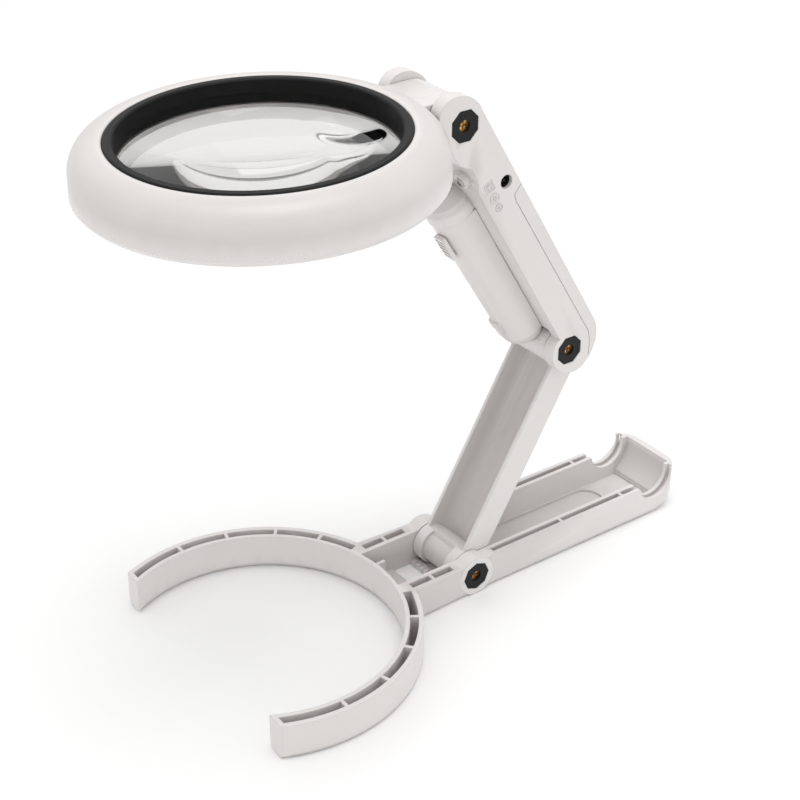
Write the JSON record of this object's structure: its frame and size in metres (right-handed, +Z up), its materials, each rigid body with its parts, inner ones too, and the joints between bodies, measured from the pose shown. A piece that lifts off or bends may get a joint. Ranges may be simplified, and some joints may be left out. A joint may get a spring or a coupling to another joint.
{
  "type": "folding illuminated stand magnifier",
  "caption": "Folding ring-lit magnifier: round lens head on a two-part arm with a battery tube, hinged to an open C-shaped foot with a channel handle.",
  "frame": {"origin": "under the middle of the foot hinge's barrel, on the foot's flat underside", "axes": "+Z up from the surface it stands on; +X along the handle, away from the C ring; Y across, along the three hinge bolts"},
  "size_m": [0.2899, 0.142, 0.2393],
  "materials": {
    "white_abs": "fine matt white ABS",
    "black_bezel": "satin black ABS",
    "black_plate": "matt black",
    "brass": "turned brass, lightly tarnished",
    "steel": "zinc plated steel",
    "friction": "dull fibre washer",
    "lens": "clear polished acrylic",
    "diffuser": "milky translucent",
    "board": "white solder mask",
    "green_board": "green solder mask",
    "led": "clear dome over yellow phosphor",
    "cell_sleeve": "printed shrink sleeve, plain",
    "jack_black": "black moulded nylon"
  },
  "bodies": {
    "foot": {"base_frame": "white_abs", "foot_hinge_bolt": "brass", "foot_hinge_nut": "steel", "foot_hinge_plates": "black_plate", "foot_hinge_washers": "friction"},
    "lower_arm": {"lower_arm": "white_abs"},
    "upper_arm": {"arm_housing": "white_abs", "arm_back_cover": "white_abs", "battery_tube": "white_abs", "battery_cell": "cell_sleeve", "cell_contact": "steel", "cell_spring": "steel", "driver_board": "green_board", "inlet_jack": "jack_black", "front_screws": "steel", "switch_body": "jack_black", "knee_hinge_bolt": "brass", "knee_hinge_nut": "steel", "knee_hinge_plates": "black_plate", "knee_hinge_washers": "friction", "head_hinge_bolt": "brass", "head_hinge_nut": "steel", "head_hinge_plates": "black_plate", "head_hinge_washers": "friction"},
    "switch": {"switch_knob": "white_abs"},
    "head": {"head_shell": "white_abs", "head_bottom_cover": "white_abs", "head_screws": "steel", "lens_bezel": "black_bezel", "main_lens": "lens", "inset_lens": "lens", "led_board": "board", "leds": "led", "light_diffuser": "diffuser"}
  },
  "joints": [
    {"name": "foot_hinge", "type": "hinge", "parent": "foot", "child": "lower_arm", "pos_m": [0, 0, 0.0096], "axis": [0, 1, 0], "range_deg": [-9.5, 54.5]},
    {"name": "knee_hinge", "type": "hinge", "parent": "lower_arm", "child": "upper_arm", "pos_m": [0.0494, 0, 0.10934], "axis": [0, 1, 0], "range_deg": [-113, 19.8]},
    {"name": "head_hinge", "type": "hinge", "parent": "upper_arm", "child": "head", "pos_m": [-0.01185, 0, 0.22649], "axis": [0, 1, 0], "range_deg": [-10.6, 60.1]},
    {"name": "switch_slide", "type": "slide", "parent": "upper_arm", "child": "switch", "axis": [0.5284, 0, -0.849], "range_m": [0, 0.004]}
  ],
  "couplings": [
    {"joint": "knee_hinge", "follows": "foot_hinge", "ratio": -2.0697},
    {"joint": "head_hinge", "follows": "foot_hinge", "ratio": 1.0991}
  ]
}
